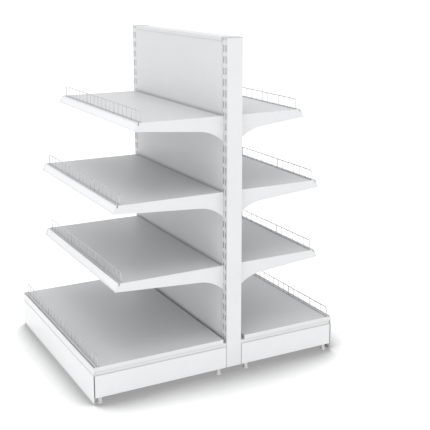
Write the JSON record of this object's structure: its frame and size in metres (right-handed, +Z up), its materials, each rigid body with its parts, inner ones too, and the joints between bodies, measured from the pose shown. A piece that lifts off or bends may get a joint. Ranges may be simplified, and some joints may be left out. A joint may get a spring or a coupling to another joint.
{
  "type": "double-sided gondola shelving",
  "caption": "Double-sided shop gondola with slotted uprights, back panels, tapered cantilever brackets, sheet trays, price rails, wire fences and a base on levelling feet.",
  "frame": {"origin": "on the floor, under the middle of the unit's bounding box", "axes": "+X along the bay, to the right seen from the deeper front side; +Y from the front side to the rear side; +Z up"},
  "size_m": [1.05, 1.256, 1.575],
  "materials": {
    "upright_coat": "white powder coat, satin",
    "panel_coat": "greyer white powder coat, satin",
    "bracket_coat": "white powder coat, satin",
    "tray_coat": "greyer white powder coat, satin",
    "base_coat": "white powder coat, satin",
    "rail_coat": "white powder coat, satin",
    "fence_wire": "bright zinc-plated wire",
    "cap_plastic": "grey moulded plastic, fine grain",
    "foot_nylon": "white moulded nylon",
    "zinc": "bright zinc"
  },
  "bodies": {
    "frame": {"upright_left": "upright_coat", "upright_right": "upright_coat", "cap_left": "cap_plastic", "cap_right": "cap_plastic", "top_rail": "panel_coat", "bottom_tie": "panel_coat", "front_panel_0": "panel_coat", "front_panel_1": "panel_coat", "front_panel_2": "panel_coat", "front_panel_3": "panel_coat", "rear_panel_0": "panel_coat", "rear_panel_1": "panel_coat", "rear_panel_2": "panel_coat", "rear_panel_3": "panel_coat", "front_base_bracket_left": "base_coat", "front_base_bracket_right": "base_coat", "rear_base_bracket_left": "base_coat", "rear_base_bracket_right": "base_coat", "weld_nuts": "zinc", "front_brackets_1": "bracket_coat", "front_brackets_2": "bracket_coat", "front_brackets_3": "bracket_coat", "rear_brackets_1": "bracket_coat", "rear_brackets_2": "bracket_coat", "rear_brackets_3": "bracket_coat"},
    "front_foot_left_outer": {"front_foot_left_outer": "foot_nylon"},
    "front_foot_left_inner": {"front_foot_left_inner": "foot_nylon"},
    "front_foot_right_outer": {"front_foot_right_outer": "foot_nylon"},
    "front_foot_right_inner": {"front_foot_right_inner": "foot_nylon"},
    "rear_foot_left_outer": {"rear_foot_left_outer": "foot_nylon"},
    "rear_foot_left_inner": {"rear_foot_left_inner": "foot_nylon"},
    "rear_foot_right_outer": {"rear_foot_right_outer": "foot_nylon"},
    "rear_foot_right_inner": {"rear_foot_right_inner": "foot_nylon"},
    "front_shelf_0": {"front_tray_0": "tray_coat", "front_price_rail_0": "rail_coat"},
    "front_fence_0": {"front_fence_0": "fence_wire"},
    "front_shelf_1": {"front_tray_1": "tray_coat", "front_price_rail_1": "rail_coat"},
    "front_fence_1": {"front_fence_1": "fence_wire"},
    "front_shelf_2": {"front_tray_2": "tray_coat", "front_price_rail_2": "rail_coat"},
    "front_fence_2": {"front_fence_2": "fence_wire"},
    "front_shelf_3": {"front_tray_3": "tray_coat", "front_price_rail_3": "rail_coat"},
    "front_fence_3": {"front_fence_3": "fence_wire"},
    "rear_shelf_0": {"rear_tray_0": "tray_coat", "rear_price_rail_0": "rail_coat"},
    "rear_fence_0": {"rear_fence_0": "fence_wire"},
    "rear_shelf_1": {"rear_tray_1": "tray_coat", "rear_price_rail_1": "rail_coat"},
    "rear_fence_1": {"rear_fence_1": "fence_wire"},
    "rear_shelf_2": {"rear_tray_2": "tray_coat", "rear_price_rail_2": "rail_coat"},
    "rear_fence_2": {"rear_fence_2": "fence_wire"},
    "rear_shelf_3": {"rear_tray_3": "tray_coat", "rear_price_rail_3": "rail_coat"},
    "rear_fence_3": {"rear_fence_3": "fence_wire"},
    "front_kick_plate": {"front_kick_plate": "base_coat"},
    "rear_kick_plate": {"rear_kick_plate": "base_coat"}
  },
  "joints": [
    {"name": "front_foot_left_outer_screw", "type": "slide", "parent": "frame", "child": "front_foot_left_outer", "axis": [0, 0, -1], "range_m": [0, 0.02]},
    {"name": "front_foot_left_inner_screw", "type": "slide", "parent": "frame", "child": "front_foot_left_inner", "axis": [0, 0, -1], "range_m": [0, 0.02]},
    {"name": "front_foot_right_outer_screw", "type": "slide", "parent": "frame", "child": "front_foot_right_outer", "axis": [0, 0, -1], "range_m": [0, 0.02]},
    {"name": "front_foot_right_inner_screw", "type": "slide", "parent": "frame", "child": "front_foot_right_inner", "axis": [0, 0, -1], "range_m": [0, 0.02]},
    {"name": "rear_foot_left_outer_screw", "type": "slide", "parent": "frame", "child": "rear_foot_left_outer", "axis": [0, 0, -1], "range_m": [0, 0.02]},
    {"name": "rear_foot_left_inner_screw", "type": "slide", "parent": "frame", "child": "rear_foot_left_inner", "axis": [0, 0, -1], "range_m": [0, 0.02]},
    {"name": "rear_foot_right_outer_screw", "type": "slide", "parent": "frame", "child": "rear_foot_right_outer", "axis": [0, 0, -1], "range_m": [0, 0.02]},
    {"name": "rear_foot_right_inner_screw", "type": "slide", "parent": "frame", "child": "rear_foot_right_inner", "axis": [0, 0, -1], "range_m": [0, 0.02]},
    {"name": "front_shelf_0_lift", "type": "slide", "parent": "frame", "child": "front_shelf_0", "axis": [0, 0, 1], "range_m": [0, 0.06]},
    {"name": "front_fence_0_lift", "type": "slide", "parent": "front_shelf_0", "child": "front_fence_0", "axis": [0, 0, 1], "range_m": [0, 0.02]},
    {"name": "front_shelf_1_lift", "type": "slide", "parent": "frame", "child": "front_shelf_1", "axis": [0, 0, 1], "range_m": [0, 0.06]},
    {"name": "front_fence_1_lift", "type": "slide", "parent": "front_shelf_1", "child": "front_fence_1", "axis": [0, 0, 1], "range_m": [0, 0.02]},
    {"name": "front_shelf_2_lift", "type": "slide", "parent": "frame", "child": "front_shelf_2", "axis": [0, 0, 1], "range_m": [0, 0.06]},
    {"name": "front_fence_2_lift", "type": "slide", "parent": "front_shelf_2", "child": "front_fence_2", "axis": [0, 0, 1], "range_m": [0, 0.02]},
    {"name": "front_shelf_3_lift", "type": "slide", "parent": "frame", "child": "front_shelf_3", "axis": [0, 0, 1], "range_m": [0, 0.06]},
    {"name": "front_fence_3_lift", "type": "slide", "parent": "front_shelf_3", "child": "front_fence_3", "axis": [0, 0, 1], "range_m": [0, 0.02]},
    {"name": "rear_shelf_0_lift", "type": "slide", "parent": "frame", "child": "rear_shelf_0", "axis": [0, 0, 1], "range_m": [0, 0.06]},
    {"name": "rear_fence_0_lift", "type": "slide", "parent": "rear_shelf_0", "child": "rear_fence_0", "axis": [0, 0, 1], "range_m": [0, 0.02]},
    {"name": "rear_shelf_1_lift", "type": "slide", "parent": "frame", "child": "rear_shelf_1", "axis": [0, 0, 1], "range_m": [0, 0.06]},
    {"name": "rear_fence_1_lift", "type": "slide", "parent": "rear_shelf_1", "child": "rear_fence_1", "axis": [0, 0, 1], "range_m": [0, 0.02]},
    {"name": "rear_shelf_2_lift", "type": "slide", "parent": "frame", "child": "rear_shelf_2", "axis": [0, 0, 1], "range_m": [0, 0.06]},
    {"name": "rear_fence_2_lift", "type": "slide", "parent": "rear_shelf_2", "child": "rear_fence_2", "axis": [0, 0, 1], "range_m": [0, 0.02]},
    {"name": "rear_shelf_3_lift", "type": "slide", "parent": "frame", "child": "rear_shelf_3", "axis": [0, 0, 1], "range_m": [0, 0.06]},
    {"name": "rear_fence_3_lift", "type": "slide", "parent": "rear_shelf_3", "child": "rear_fence_3", "axis": [0, 0, 1], "range_m": [0, 0.02]},
    {"name": "front_kick_plate_pull", "type": "slide", "parent": "frame", "child": "front_kick_plate", "axis": [0, -1, 0], "range_m": [0, 0.03]},
    {"name": "rear_kick_plate_pull", "type": "slide", "parent": "frame", "child": "rear_kick_plate", "axis": [0, 1, 0], "range_m": [0, 0.03]}
  ]
}
